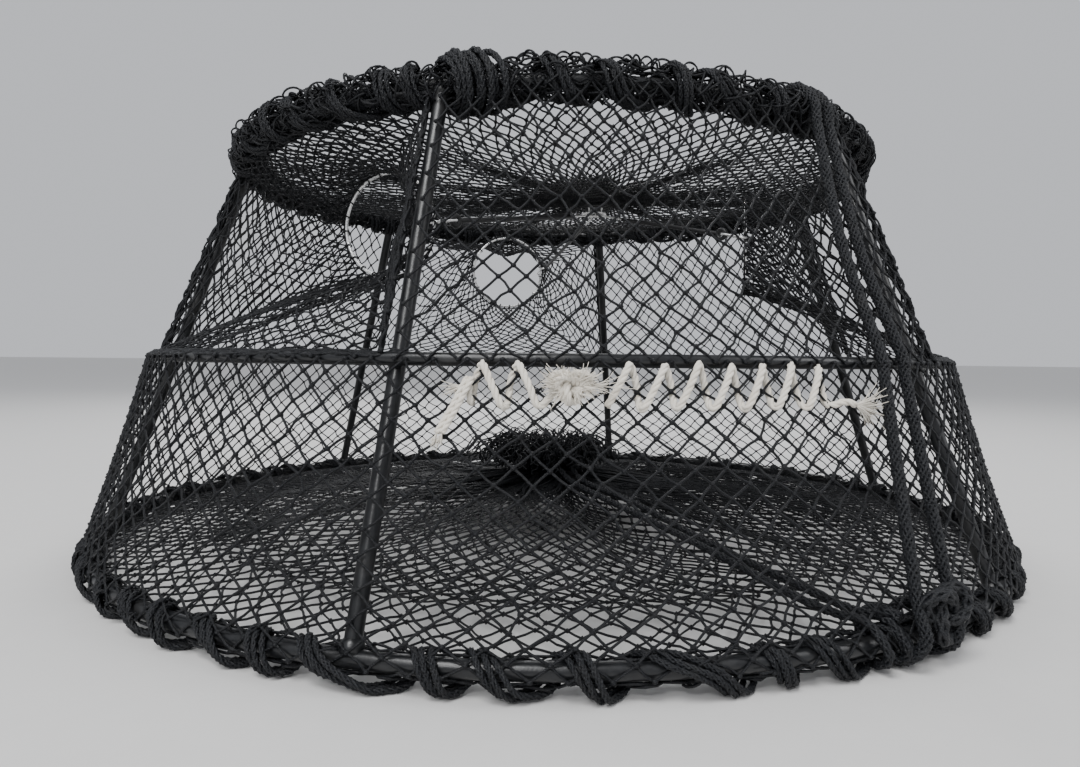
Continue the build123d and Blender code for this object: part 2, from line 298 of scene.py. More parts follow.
# --- strands -------------------------------------------------------------------------------
class Strands:
    """Round tubes gathered into one mesh."""

    def __init__(self):
        self.points, self.quads, self.ends, self.count = [], [], [], 0

    def add(self, lines, lean, radius, sides=5, closed=False, capped=True):
        """lines is (count, points, 3); lean is a direction across them; radius may vary along."""
        lines = np.asarray(lines, float)
        if closed:
            along = np.roll(lines, -1, axis=1) - np.roll(lines, 1, axis=1)
        else:
            along = np.gradient(lines, axis=1)
        along = unit(along)
        across = unit(np.cross(along, np.broadcast_to(lean, lines.shape)))
        lift = np.cross(across, along)
        turn = np.linspace(0, 2 * math.pi, sides, endpoint=False)
        reach = np.broadcast_to(radius, lines.shape[:2])[:, :, None, None]
        rim = (np.cos(turn)[:, None] * across[:, :, None] + np.sin(turn)[:, None] * lift[:, :, None])
        points = lines[:, :, None] + reach * rim
        tubes, rings = lines.shape[:2]
        index = self.count + np.arange(tubes * rings * sides).reshape(tubes, rings, sides)
        near, far = (index, np.roll(index, -1, axis=1)) if closed else (index[:, :-1], index[:, 1:])
        quads = np.stack([near, far, np.roll(far, -1, axis=2), np.roll(near, -1, axis=2)], -1)
        self.points.append(points.reshape(-1, 3))
        self.quads.append(quads.reshape(-1, 4))
        if capped and not closed:
            self.ends += index[:, 0].tolist() + index[:, -1, ::-1].tolist()
        self.count += points.size // 3
        return self

    def piece(self, name, slot, body="frame", replaces=()):
        """One object of the tubes so far, kept above the floor and riding on a body."""
        points, quads = np.concatenate(self.points), np.concatenate(self.quads)
        points[:, 2] = np.maximum(points[:, 2], 0.05 * MM)
        mesh = bpy.data.meshes.new(name)
        mesh.from_pydata(points.tolist(), [], quads.tolist() + self.ends)
        mesh.polygons.foreach_set("use_smooth", np.ones(len(mesh.polygons), bool))
        mesh.materials.append(finishes[slot])
        made = bpy.data.objects.new(name, mesh)
        bpy.context.scene.collection.objects.link(made)
        if body:
            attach(made, body)
        if replaces:
            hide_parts(*replaces)
        return made


def smooth_path(corners, step):
    """Points about step apart on a Catmull-Rom curve through the corners."""
    corners = np.asarray(corners, float)
    padded = np.vstack([2 * corners[0] - corners[1], corners, 2 * corners[-1] - corners[-2]])
    fine = []
    for a, b, c, d in zip(padded, padded[1:], padded[2:], padded[3:]):
        t = np.linspace(0, 1, 24, endpoint=False)[:, None]
        fine.append(0.5 * (2 * b + (c - a) * t + (2 * a - 5 * b + 4 * c - d) * t**2
                           + (3 * b - a - 3 * c + d) * t**3))
    return even(np.vstack(fine + [corners[-1:]]), step)


def length_along(line):
    return np.concatenate([[0], np.cumsum(np.linalg.norm(np.diff(line, axis=0), axis=1))])


def even(line, step):
    """The same line with its points about step apart."""
    run = length_along(line)
    spots = np.linspace(0, run[-1], max(3, round(run[-1] / step) + 1))
    return np.stack([np.interp(spots, run, line[:, k]) for k in range(3)], -1)


def frames_along(path):
    """Tangent and two cross directions that don't twist, at each point of a path."""
    along = unit(np.gradient(path, axis=0))
    first = np.cross(along[0], [0.31, 0.17, 0.93])
    cross = [first / np.linalg.norm(first)]
    for way in along[1:]:
        moved = cross[-1] - way * (cross[-1] @ way)
        cross.append(moved / np.linalg.norm(moved))
    cross = np.array(cross)
    return along, cross, np.cross(along, cross)


def braid(strands, path, rope, lay=8.6, carriers=8, sides=5):
    """A round braid: half of the carriers wind each way and pass over and under each other."""
    along, side, other = frames_along(path)
    turn = 2 * math.pi * length_along(path) / (lay * rope)
    half = carriers // 2
    crossing = np.cos(turn * carriers / 2 - math.pi / 4)
    strand = (0.33 if carriers < 12 else 0.25) * rope
    weave = 0.13 * rope
    lines, leans = [], []
    for k in range(carriers):
        way = 1 if k % 2 else -1
        angle = way * turn + (k // 2) * 2 * math.pi / half + (math.pi / carriers if way > 0 else 0)
        out = np.cos(angle)[:, None] * side + np.sin(angle)[:, None] * other
        reach = rope - strand - weave + way * weave * crossing * (1 if (k // 2) % 2 else -1)
        lines.append(path + reach[:, None] * out)
        leans.append(out)
    strands.add(lines, np.array(leans), strand, sides)
    strands.add([path], side, 0.5 * rope, 6)
    return strands


def twist(strands, path, rope, yarns=3, lay=7.0, sides=5, phase=0.0):
    """Yarns laid round each other."""
    along, side, other = frames_along(path)
    turn = 2 * math.pi * length_along(path) / (lay * rope) + phase
    lines, leans = [], []
    for k in range(yarns):
        angle = turn + 2 * math.pi * k / yarns
        out = np.cos(angle)[:, None] * side + np.sin(angle)[:, None] * other
        lines.append(path + 0.48 * rope * out)
        leans.append(out)
    return strands.add(lines, np.array(leans), 0.55 * rope, sides)


# --- netting ---------------------------------------------------------------------------------
def knot_rows(width_at, length, columns):
    """Shares of a net's length where its half rows of knots lie, for twine of one mesh size."""
    spots = [0.0]
    while spots[-1] < length:
        half = width_at(min(spots[-1] / length, 1.0)) / (2 * columns)
        spots.append(spots[-1] + math.sqrt(max(mesh_bar**2 - half**2, (0.35 * mesh_bar) ** 2)))
    return np.array(spots) / spots[-1]


def netting(strands, surface, columns, rows, closed, seed, sides=4, slack=1.0):
    """Knotted diamond mesh on surface(u, v), u across the columns and v along the rows."""
    rng = np.random.default_rng(seed)
    us, vs = [], []  # half rows of knots, each half a mesh over from the last
    for j, v in enumerate(rows):
        odd = j % 2
        count = columns if closed or odd else columns + 1
        u = (np.arange(count) + 0.5 * odd) / columns
        stray = rng.normal(0, 0.07 * slack, (2, count))
        if not closed and not odd:
            stray[0, [0, -1]] = 0
        gap = 0 if j in (0, len(rows) - 1) else rows[j] - rows[j - 1]
        us.append(u + stray[0] / columns)
        vs.append(v + stray[1] * gap)
    bars = []  # two from each knot to the next half row
    for j in range(len(rows) - 1):
        odd = j % 2
        for step in (0, 1) if odd else (-1, 0):
            start = np.arange(len(us[j]))
            if not closed:
                start = start[(start + step >= 0) & (start + step < len(us[j + 1]))]
            end = start + step
            wrapped = end % len(us[j + 1])
            lap = (end - wrapped) / columns
            bars.append(np.stack([us[j][start], vs[j][start],
                                  us[j + 1][wrapped] + lap, vs[j + 1][wrapped]], -1))
    bars = np.concatenate(bars)
    share = np.array([0, 0.5, 1.0])
    u = bars[:, :1] + (bars[:, 2:3] - bars[:, :1]) * share
    v = bars[:, 1:2] + (bars[:, 3:4] - bars[:, 1:2]) * share
    lines, out = surface(u, v)
    along = unit(lines[:, 2] - lines[:, 0])
    lines[:, 1] += np.cross(along, out[:, 1]) * rng.normal(0, 0.45 * MM * slack, (len(bars), 1))
    lines[:, 1] += out[:, 1] * rng.normal(0, 0.35 * MM * slack, (len(bars), 1))
    strands.add(lines, out, twine, sides, capped=False)
    u, v = np.concatenate(us), np.concatenate(vs)
    here, out = surface(u[:, None], v[:, None])
    here, out = here[:, 0], out[:, 0]
    ahead = surface(u[:, None], np.clip(v[:, None] + 0.004, 0, 1.01))[0][:, 0]
    way = unit(ahead - here + 1e-9)
    way = unit(way + 0.35 * rng.normal(0, 1, way.shape))
    knot_length, knot_width = np.array([-1.7, -0.75, 0.75, 1.7]), np.array([0.9, 2.3, 2.15, 0.85])
    lumps = here[:, None] + way[:, None] * (knot_length * twine)[:, None]
    strands.add(lumps, out[:, None] + 0.01, twine * knot_width, sides)
    return strands


def scallop(bearing):
    """0 at a leg and 1 half way between two legs."""
    return np.abs(np.cos(3 * bearing)) ** 1.5


def side_radius(height):
    """Where the netting is pulled tight from the large ring over the middle ring to the small one."""
    return np.interp(height, [0, mid_height, frame_height],
                     [large_radius + large_rod + net_over_large, mid_radius + mid_rod + net_over_mid,
                      small_radius + small_rod + net_over_small])


def lower_surface(u, v):
    """The skirt: from just under the large ring to the middle ring."""
    bearing, height = 2 * math.pi * u, -2.5 * MM + (mid_height + 2.5 * MM) * v
    sag = skirt_sag * np.sin(math.pi * v) * scallop(bearing)
    return spot(side_radius(np.maximum(height, 0)) - sag, bearing, height), outward(bearing)


def panel_surface(centre):
    """An upper panel between two legs, from the middle ring to the small one."""
    def surface(u, v):
        bearing = centre + panel_half * (2 * u - 1)
        height = mid_height + (frame_height - mid_height - 2 * MM) * v
        sag = panel_sag * np.clip(np.sin(math.pi * v), 0, None) ** 0.8 * scallop(bearing)
        return spot(side_radius(height) - sag, bearing, height), outward(bearing)
    return surface


def dish_surface(rim, rim_height, gather, gather_radius, gather_height, dip, pleats, seed, lift):
    """A round net from a rim down or up to a gather, with pleats that deepen towards it."""
    phase = np.random.default_rng(seed).uniform(0, 2 * math.pi, 3)

    def surface(u, v):
        bearing = 2 * math.pi * u
        start = spot(rim, bearing, rim_height)
        end = spot(gather_radius, bearing, gather_height) + np.array([gather[0], gather[1], 0])
        point = start + (end - start) * v[..., None]
        swell = np.sin(math.pi * np.clip(v, 0, 1)) ** 1.2
        fold = (np.sin(pleats * bearing + phase[0]) + 0.7 * np.sin((pleats + 4) * bearing + phase[1])
                + 0.6 * np.sin(3 * bearing + phase[2]))
        deep = lift * swell * np.clip(v, 0, 1) * fold
        point[..., 2] += deep - dip * swell
        return point, np.broadcast_to([0.05, 0.03, 1.0], point.shape)
    return surface


def net_piece(name, surface, width_at, length, node, seed, closed=True, columns=meshes_round, sides=4):
    """A net whose width changes along its length, in place of its node."""
    rows = knot_rows(width_at, length, columns)
    made = netting(Strands(), surface, columns, rows, closed, seed, sides)
    return made.piece(name, "netting", replaces=[node])


def side_nets():
    """The skirt and the three upper panels without a tunnel."""
    slope = math.hypot(mid_height, large_radius - mid_radius)
    net_piece("lower_skirt_mesh", lower_surface,
              lambda v: 2 * math.pi * (large_radius + (mid_radius - large_radius) * v),
              slope, "lower_side_net", 11, sides=5)
    rise = frame_height - mid_height
    for name, bearing, seed in (("front_panel", 0, 12), ("rear_right_panel", 120, 13),
                                ("rear_left_panel", -120, 14)):
        net_piece(f"{name}_mesh", panel_surface(math.radians(bearing)),
                  lambda v: math.pi / 3 * (mid_radius + (small_radius - mid_radius) * v),
                  math.hypot(rise, mid_radius - small_radius), f"{name}_net", seed,
                  closed=False, columns=meshes_round // 6, sides=5)


def base_net():
    """The floor net in an outer and an inner part, and its surplus lying in folds on the inner part."""
    surface = dish_surface(large_radius, -4 * MM, (0, 0), purse_mouth, 27 * MM, -5 * MM, 9, 21, 9 * MM)
    rows = knot_rows(lambda v: 2 * math.pi * (large_radius + (purse_mouth - large_radius) * v),
                     large_radius - purse_mouth, meshes_round)
    cut = 2 * (len(rows) // 5)
    netting(Strands(), surface, meshes_round, rows[:cut + 1], True, 31).piece("base_mesh_outer", "netting")
    netting(Strands(), surface, meshes_round, rows[cut:], True, 32, sides=3).piece(
        "base_mesh_inner", "netting", replaces=["base_net"])
    slack_rim, slack_mouth, slack_meshes = 300 * MM, 30 * MM, meshes_round * 2 // 3
    slack = dish_surface(slack_rim, 1 * MM, (0, 0), slack_mouth, 28 * MM, -3 * MM, 7, 23, 5 * MM)
    rows = knot_rows(lambda v: 2 * math.pi * (slack_rim + (slack_mouth - slack_rim) * v),
                     slack_rim - slack_mouth, slack_meshes)
    netting(Strands(), slack, slack_meshes, rows, True, 34, sides=3).piece("base_mesh_slack", "netting")


def top_net():
    """The net over the small ring, drawn together above the hub."""
    surface = dish_surface(small_radius, frame_height + 3 * MM, hub[:2], 14 * MM, frame_height - 12 * MM,
                           7 * MM, 8, 22, 5 * MM)
    net_piece("top_mesh", surface, lambda v: 2 * math.pi * (small_radius + (16 * MM - small_radius) * v),
              small_radius, "top_net", 33)


def gathered_bunch(name, centre, levels, node, seed, strands_round, ruffle=0.22):
    """The net's meshes drawn together: many strands up through a neck, then flared and ruffled.
    Levels are (radius, height) pairs in mm."""
    rng = np.random.default_rng(seed)
    radii, heights = np.array(levels).T * MM
    v = np.linspace(0, 1, 22)
    knots = np.linspace(0, 1, len(radii))
    reach, rise = np.interp(v, knots, radii), np.interp(v, knots, heights)
    strands = Strands()
    bearing = np.linspace(0, 2 * math.pi, strands_round, endpoint=False)[:, None]
    for layer in range(3):
        drift = rng.normal(0, 0.25, (strands_round, 1)) * np.sin(math.pi * v) + 0.5 * layer
        wave = 1 + ruffle * np.sin((5 + layer) * bearing + 4 * v + layer) * v**1.5
        wave = wave * rng.uniform(0.72 - 0.12 * layer, 1.06 - 0.15 * layer, (strands_round, 1))
        zig = 0.035 * np.sin(40 * v + rng.uniform(0, 6, (strands_round, 1)))
        height = rng.uniform(0.62 - 0.1 * layer, 1.05, (strands_round, 1))
        level = heights[0] + (rise - heights[0]) * height
        lines = spot(reach * wave, bearing + drift + zig, level)
        lines[..., :2] += np.asarray(centre)[:2]
        strands.add(lines, outward(bearing + drift) + 0.01, twine, 4)
    return strands.piece(name, "netting", replaces=[node])


def gather_folds(name, centre, neck, foot_heights, reach, folds, seed):
    """Meshes pulled together into folds that run from a net up to the neck of its gather."""
    rng = np.random.default_rng(seed)
    share = np.linspace(0, 1, 12)
    lines, leans = [], []
    for fold in range(folds):
        bearing = 2 * math.pi * (fold + rng.uniform(-0.35, 0.35)) / folds
        length = rng.uniform(0.55, 1.0) * reach
        sweep = rng.uniform(-0.5, 0.5)
        for _ in range(15):
            end = neck[0] + length * rng.uniform(0.5, 1.05)
            spread = rng.normal(0, 0.085)
            radius = neck[0] + (end - neck[0]) * share
            height = np.interp(radius, [neck[0], reach], foot_heights)
            height = height + (neck[1] - foot_heights[0]) * (1 - share) ** 3
            height = height + 5 * MM * rng.uniform(0.2, 1) * np.sin(math.pi * share)
            waver = 0.012 * np.sin(30 * share + rng.uniform(0, 6))
            turn = bearing + spread * share + sweep * share**2 + waver
            line = spot(radius, turn, height)
            line[:, :2] += np.asarray(centre)[:2]
            lines.append(line)
            leans.append(np.broadcast_to([0.1, 0.05, 1.0], line.shape))
    Strands().add(lines, np.array(leans), twine, 4).piece(name, "netting")


def gathers():
    """The purse in the base net, and the gather in the top net over the hub."""
    gather_folds("base_gather_folds", (0, 0), (16 * MM, 38 * MM), (30 * MM, 20 * MM), 150 * MM, 15, 43)
    gather_folds("top_gather_folds", hub, (9 * MM, 301 * MM), (297 * MM, 301 * MM), 80 * MM, 11, 44)
    gathered_bunch("base_gather_bunch", (0, 0), [
        (66, 25), (26, 30), (13, 38), (25, 49), (42, 62), (53, 70), (61, 66), (63, 54)],
        "base_net_gather", 41, 170)
    gathered_bunch("top_gather_bunch", hub, [
        (26, 298), (10, 297), (7, 302), (14, 308), (20, 314), (24, 315)], "top_net_gather", 42, 80)


# --- tunnels and eyes ----------------------------------------------------------------------
class Tunnel:
    """One entrance: where its mouth is, and its eye's place and facing."""

    def __init__(self, name, bearing):
        self.name, self.bearing = name, math.radians(bearing)
        self.eye = middle(f"{name}_eye_ring")
        points = np.array([v.co for v in frame["nodes"][f"{name}_eye_ring"].data.vertices])
        spread = np.linalg.svd(points - points.mean(0), full_matrices=False)[2][2]
        self.facing = spread * (1 if spread @ outward(self.bearing) > 0 else -1)
        self.across = unit(np.cross(up, self.facing))
        low, high, half = mid_height + 1 * MM, frame_height - 6 * MM, mouth_half
        sides = [2 * half * side_radius(low), high - low, 2 * half * side_radius(high), high - low]
        self.corners = np.concatenate([[0], np.cumsum(sides)]) / sum(sides)
        self.turns = half * np.array([-1, 1, 1, -1, -1])
        self.levels = np.array([low, low, high, high, low])
        self.perimeter = sum(sides)

    def mouth(self, u):
        """Round the four-sided mouth: up to a leg each side, middle ring to small ring."""
        u = u % 1.0
        level = np.interp(u, self.corners, self.levels)
        return spot(side_radius(level), self.bearing + np.interp(u, self.corners, self.turns), level)

    def mouth_middle(self):
        return self.mouth(np.linspace(0, 1, 64, endpoint=False)).mean(0)

    def round_eye(self, u, radius):
        angle = 2 * math.pi * (u + 0.625)
        return self.eye + radius * (np.cos(angle)[..., None] * self.across
                                    + np.sin(angle)[..., None] * up)

    def surface(self, u, v):
        """The net between mouth and eye, drawn in at its throat and pleated."""
        start, end = self.mouth(u), self.round_eye(u, eye_seam)
        middle_of_mouth = self.mouth_middle()
        centre = (middle_of_mouth + self.eye) / 2
        throat = centre + 0.82 * ((start + end) / 2 - centre)
        throat[..., 2] -= 4 * MM
        v = v[..., None]
        point = start * (1 - v) * (1 - 2 * v) + 4 * v * (1 - v) * throat + end * v * (2 * v - 1)
        away = unit(point - (middle_of_mouth * (1 - v) + self.eye * v))
        folds = np.sin(14 * math.pi * u) + 0.6 * np.sin(22 * math.pi * u + 1)
        fold = 3.5 * MM * np.sin(math.pi * v) * folds[..., None]
        return point + away * fold, away

    def netting(self, seed):
        rows = knot_rows(lambda v: self.perimeter + (2 * math.pi * eye_radius - self.perimeter) * v,
                         tunnel_length, tunnel_columns)
        made = netting(Strands(), self.surface, tunnel_columns, rows, True, seed, 4, 1.6)
        rim = self.round_eye(np.linspace(0, 1, 72, endpoint=False), eye_seam)
        made.add([rim], self.facing, 0.6 * MM, 5, closed=True)
        piece = made.piece(f"{self.name}_tunnel_mesh", "netting", body=None,
                           replaces=[f"{self.name}_tunnel_net"])
        self.mouth_middle()
        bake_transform(piece)

    def border(self):
        """Selvedge twines bunched round the mouth, thickest along the two legs."""
        u = np.linspace(0, 1, 300, endpoint=False)
        line, strands = self.mouth(u), Strands()
        inward = unit(self.eye - line)
        rng = np.random.default_rng(91)
        for k in range(9):
            push = rng.uniform(0.2, 6.5)
            push = push + 1.2 * np.sin(2 * math.pi * (rng.integers(9, 30) * u + rng.uniform()))
            weave = 1.3 * np.sin(2 * math.pi * (rng.integers(20, 60) * u + rng.uniform()))
            run = line + MM * (inward * np.maximum(push, 0.2)[:, None]
                               + weave[:, None] * outward(self.bearing))
            strands.add([run], [0.1, 0.2, 0.95], 1.05 * MM if k < 2 else twine, 5, closed=True)
        strands.piece(f"{self.name}_mouth_border", "netting")

    def hitching(self, turns=22):
        """Twine served over the wire in pairs of turns, with the wire bright between them."""
        strands = Strands()
        t = np.linspace(0, 2 * math.pi, 13, endpoint=False)
        for k in range(turns):
            u = (k + 0.5) / turns
            spoke = unit(self.round_eye(np.array(u), 1.0) - self.eye)
            centre = self.eye + spoke * eye_radius
            slant = 0.35 * np.cross(spoke, self.facing)
            aside = unit(self.facing + slant)
            line = centre + (eye_wire + 0.75 * MM) * (np.cos(t)[:, None] * spoke
                                                      + np.sin(t)[:, None] * aside)
            strands.add([line], np.cross(spoke, self.facing), 0.55 * MM, 5, closed=True)
        strands.piece(f"{self.name}_eye_serving", "twine", body=f"{self.name}_eye",
                      replaces=[f"{self.name}_eye_hitching"])


tunnels = [Tunnel("left", -60), Tunnel("right", 60), Tunnel("rear", 180)]


def entrances():
    """Each tunnel's net, the bunched border of its mouth, and the twine that holds its eye."""
    for seed, tunnel in enumerate(tunnels, 51):
        tunnel.netting(seed)
        tunnel.border()
        tunnel.hitching()


# --- lashings ----------------------------------------------------------------------------------
def lashing(name, ring_radius, reach, hang, height, turns, node, seed):
    """Three braided strands side by side wound round a ring, slack and drooping at the bottom."""
    rng = np.random.default_rng(seed)
    t = np.linspace(0, 1, turns * 36)
    wander = sum(rng.uniform(0.06, 0.16) * np.sin(2 * math.pi * (k * t + rng.uniform()))
                 for k in (7, 13, 19, 29))
    slack = sum(rng.uniform(0.3, 0.6) * MM * np.sin(2 * math.pi * (k * t + rng.uniform()))
                for k in (17, 41, 83))
    theta = 2 * math.pi * (turns * t + wander)
    around = -(theta + 0.62 * np.cos(theta))
    bearing = 2 * math.pi * t
    droop = hang * np.clip(-np.sin(around), 0, 1) ** 2
    face = np.cos(around)[:, None] * outward(bearing) + np.sin(around)[:, None] * up
    path = spot(ring_radius, bearing, height) + face * (reach + slack + droop)[:, None]
    across = unit(np.cross(unit(np.gradient(path, axis=0)), face))
    for k in range(3):
        aside = (k - 1) * 1.75 * lash_strand
        ride = 0.6 * MM * np.sin(2 * math.pi * (23 * t + 0.31 * k)) + 0.9 * MM * (k % 2)
        line = path + across * (aside + 0.5 * MM * np.sin(2 * math.pi * 61 * t + 2 * k))[:, None]
        line = line + face * ride[:, None]
        line[:, 2] = np.maximum(line[:, 2], lash_strand + 0.2 * MM)
        braid(Strands(), even(line, 2.3 * MM), lash_strand, 7.0, 8, 4).piece(
            f"{name}_{k + 1}", "braided_rope", replaces=[node] if k == 0 else ())


def bunching(name, ring_radius, rod, height, strands_count, thick, seed, loops):
    """Surplus netting drawn up along a ring under its lashing, with loops of twine standing out."""
    rng = np.random.default_rng(seed)
    bearing = np.linspace(0, 2 * math.pi, 430, endpoint=False)
    lines, leans = [], []
    for k in range(strands_count):
        waves = sum(rng.uniform(0.3, 1.0) * np.sin(n * bearing + rng.uniform(0, 6.3))
                    for n in (31, 57, 83, 97))
        around = rng.uniform(0, 6.3) + 0.55 * waves
        reach = rod + rng.uniform(0.25, 1.0) * thick * (1 + 0.3 * np.sin(71 * bearing + k))
        lines.append(spot(ring_radius + reach * np.cos(around), bearing, height + reach * np.sin(around)))
        leans.append(np.cos(around)[:, None] * outward(bearing) + np.sin(around)[:, None] * up)
    made = Strands().add(lines, np.array(leans), twine, 4, closed=True)
    arc = np.linspace(-1, 1, 9)
    place, spread = rng.uniform(0, 2 * math.pi, (loops, 1)), rng.uniform(-1.0, 3.2, (loops, 1))
    wide = rng.uniform(3, 7, (loops, 1)) * MM
    tall = rng.uniform(0.35, 1.0, (loops, 1)) * thick * 0.9
    around = spread + rng.uniform(-0.7, 0.7, (loops, 1)) * arc
    reach = rod + 0.75 * thick + tall * np.sqrt(np.maximum(1 - arc**2, 0))
    lines = spot(ring_radius + reach * np.cos(around), place + wide * arc / ring_radius,
                 height + reach * np.sin(around))
    made.add(lines, rng.normal(0, 1, (loops, 1, 3)), twine, 4)
    return made.piece(name, "netting")


def thick_wrap():
    """Where the lashing starts: many strands round the small ring beside the front left leg."""
    strands = Strands()
    t = np.linspace(0, 2 * math.pi, 60, endpoint=False)
    for k in range(8):
        bearing = math.radians(-29.5 + 0.78 * k + 0.3 * math.sin(3 * k))
        reach = small_rod + (9.2 + 1.5 * (k % 3)) * MM
        lean = 0.045 * np.cos(t + 0.4)
        line = spot(small_radius + reach * np.cos(t), bearing + lean,
                    frame_height - 0.5 * MM + 1.12 * reach * np.sin(t))
        braid(strands, np.vstack([line, line[:2]]), 2.4 * MM, 7.0, 8, 4)
    strands.piece("small_ring_start_wrap", "braided_rope")


def lashings():
    lashing("large_ring_rope", large_radius, large_rod + 2.6 * MM, 4.2 * MM, 0, large_turns,
            "large_ring_lashing", 61)
    lashing("small_ring_rope", small_radius, small_rod + 7.4 * MM, 1.0 * MM, frame_height, small_turns,
            "small_ring_lashing", 62)
    bunching("large_ring_bunched_net", large_radius, large_rod, 0, 9, 2.8 * MM, 63, 90)
    bunching("small_ring_bunched_net", small_radius, small_rod, frame_height, 28, 7.5 * MM, 64, 900)
    thick_wrap()


# --- ropes and cords ------------------------------------------------------------------------------
def polar_path(stations, step):
    """A smooth path through (radius mm, bearing degrees, height mm) stations."""
    return smooth_path([spot(r * MM, math.radians(b), h * MM) for r, b, h in stations], step)


def knot_path(centre, bearing, size, step=1.8 * MM):
    """A trefoil drawn tight, flattened against what it lies on."""
    t = np.linspace(0, 2 * math.pi, 120)
    flat = np.stack([np.sin(t) + 2 * np.sin(2 * t), -np.sin(3 * t), np.cos(t) - 2 * np.cos(2 * t)], -1) / 3
    flat = flat * np.asarray(size) / 2
    turned = np.array(Matrix.Rotation(bearing, 3, "Z"))
    return even(centre + flat @ turned.T, step)


def side_ropes():
    """Two ropes over the small ring, down the outside and round the large ring. Each station is a
    radius in mm, a bearing in degrees and a height in mm."""
    over = (frame_height + small_rod + side_rope) / MM + 4
    for name, shift, foot in (("left", -1.4, -2.0), ("right", 1.4, 2.0)):
        top, low = 22 + shift, 14.6 + foot
        path = polar_path([
            (238, top, over - 5), (256, top, over + 1), (272, top, over + 4), (286, top - 0.2, over - 9),
            (291, top - 0.5, 290), (317, (2 * top + low) / 3, 214), (349, (top + low) / 2, 147),
            (352, (top + low) / 2 - 0.2, 136), (373, (top + 3 * low) / 4 - 0.5, 76), (391, low, 22),
            (397, low - 0.2, 6), (394, low - 0.5, -3), (383, low - 0.9, -8.2), (371, low - 1.3, -5),
            (365, low - 1.5, 5), (372, low - 1.2, 14), (386, low - 0.8, 13)], 2.3 * MM)
        braid(Strands(), path, side_rope, 6.4, 12, 4).piece(
            f"{name}_side_rope", "braided_rope", replaces=[f"side_rope_{name}"])


def rope_knots():
    """The side ropes' knots, at the large ring's rim and on the small ring."""
    rim = spot(395 * MM, math.radians(15.2), 16 * MM)
    braid(Strands(), knot_path(rim, math.radians(15), (34 * MM, 15 * MM, 30 * MM)), 4.2 * MM).piece(
        "rim_rope_knot", "braided_rope", replaces=["rim_knot"])
    top = middle("top_knot")
    braid(Strands(), knot_path(top, math.radians(22), (40 * MM, 26 * MM, 12 * MM)), 4.2 * MM).piece(
        "top_rope_knot", "braided_rope", replaces=["top_knot"])


def purse_ropes():
    """The purse line: two runs over the base net, from its gather out to the large ring and round it."""
    for name, side in (("left", -1), ("right", 1)):
        path = polar_path([
            (24, 8 + 16 * side, 46), (40, 8 + 9 * side, 43), (70, 8 + 4.6 * side, 34),
            (150, 8 + 2.3 * side, 30 + side), (250, 8.4 + 1.5 * side, 22 - side), (335, 9 + 1.2 * side, 14),
            (364, 9.4 + side, 12), (381, 10 + side, 12), (392.5, 10.4 + side, 0), (386, 10.8 + side, -8.6),
            (374, 11.2 + side, -9.2), (366, 11.5 + side, -1)], 1.9 * MM)
        braid(Strands(), path, purse_rope, 7.0, 8, 4).piece(
            f"{name}_purse_rope", "braided_rope", replaces=[f"purse_rope_{name}"])


def neck_ties():
    """Turns of purse line that hold the two gathers shut, and the thin cord on the top."""
    for name, centre, height, reach, rope, turns in (
            ("base_neck_tie", (0, 0), 37 * MM, 16 * MM, purse_rope, 3),
            ("top_neck_tie", hub[:2], 302 * MM, 9 * MM, 1.6 * MM, 3)):
        t = np.linspace(0, 2 * math.pi * turns, 60 * turns)
        path = spot(reach, t, height + (t / (2 * math.pi) - turns / 2) * 2 * rope)
        path[:, :2] += np.asarray(centre)[:2]
        braid(Strands(), even(path, 1.6 * MM), rope).piece(name, "braided_rope")
    start = spot(0, 0, frame_height)
    points = [hub + np.array([0, 0, 20 * MM])] + [start + np.array(p) * MM for p in
              ((20, -8, 2), (-8, 0, 1), (-36, 20, 3), (-58, 56, 5))]
    twist(Strands(), smooth_path(points, 1.2 * MM), 1.7 * MM).piece("top_cord", "twine",
                                                                  replaces=["top_draw_cord"])


# --- rot cord ----------------------------------------------------------------------------------
def on_skirt(bearing, drop, lift):
    """A point just outside the skirt's netting, a drop in mm below the middle ring."""
    height = mid_height - drop * MM
    return spot(side_radius(height) + lift * MM, math.radians(bearing), height)


def fray(strands, root, ways, length, spread, count, seed):
    """Loose fibres that leave a root in given directions and curl."""
    rng = np.random.default_rng(seed)
    ways = unit(np.asarray(ways, float).reshape(-1, 3))
    pick = ways[rng.integers(0, len(ways), count)]
    way = unit(pick + spread * rng.normal(0, 1, (count, 3)))
    curl = rng.normal(0, 0.45, (count, 3))
    share = np.linspace(0, 1, 7)[None, :, None]
    reach = length * rng.uniform(0.55, 1.1, (count, 1, 1))
    lines = root + reach * (share * way[:, None] + 0.5 * share**2 * curl[:, None])
    taper = fibre * np.linspace(1.15, 0.55, 7)
    return strands.add(lines, rng.normal(0, 1, (count, 1, 3)), taper, 4)


def stitch(first, peak, last, sway, turn):
    """One stitch: up the outside, over the middle ring's edge and steeply back behind the mesh."""
    return [on_skirt(first, 22.6 + sway, 2.0), on_skirt((first + peak) / 2, 12.5 + sway, 3.4),
            on_skirt(peak - 0.1 * turn, 3.4 + sway, 2.8), on_skirt(peak + 0.22 * turn, 2.6 + sway, 0.2),
            on_skirt((peak + last) / 2 + 0.3 * turn, 11 + sway, -3.2), on_skirt(last, 22.0 + sway, -2.2)]


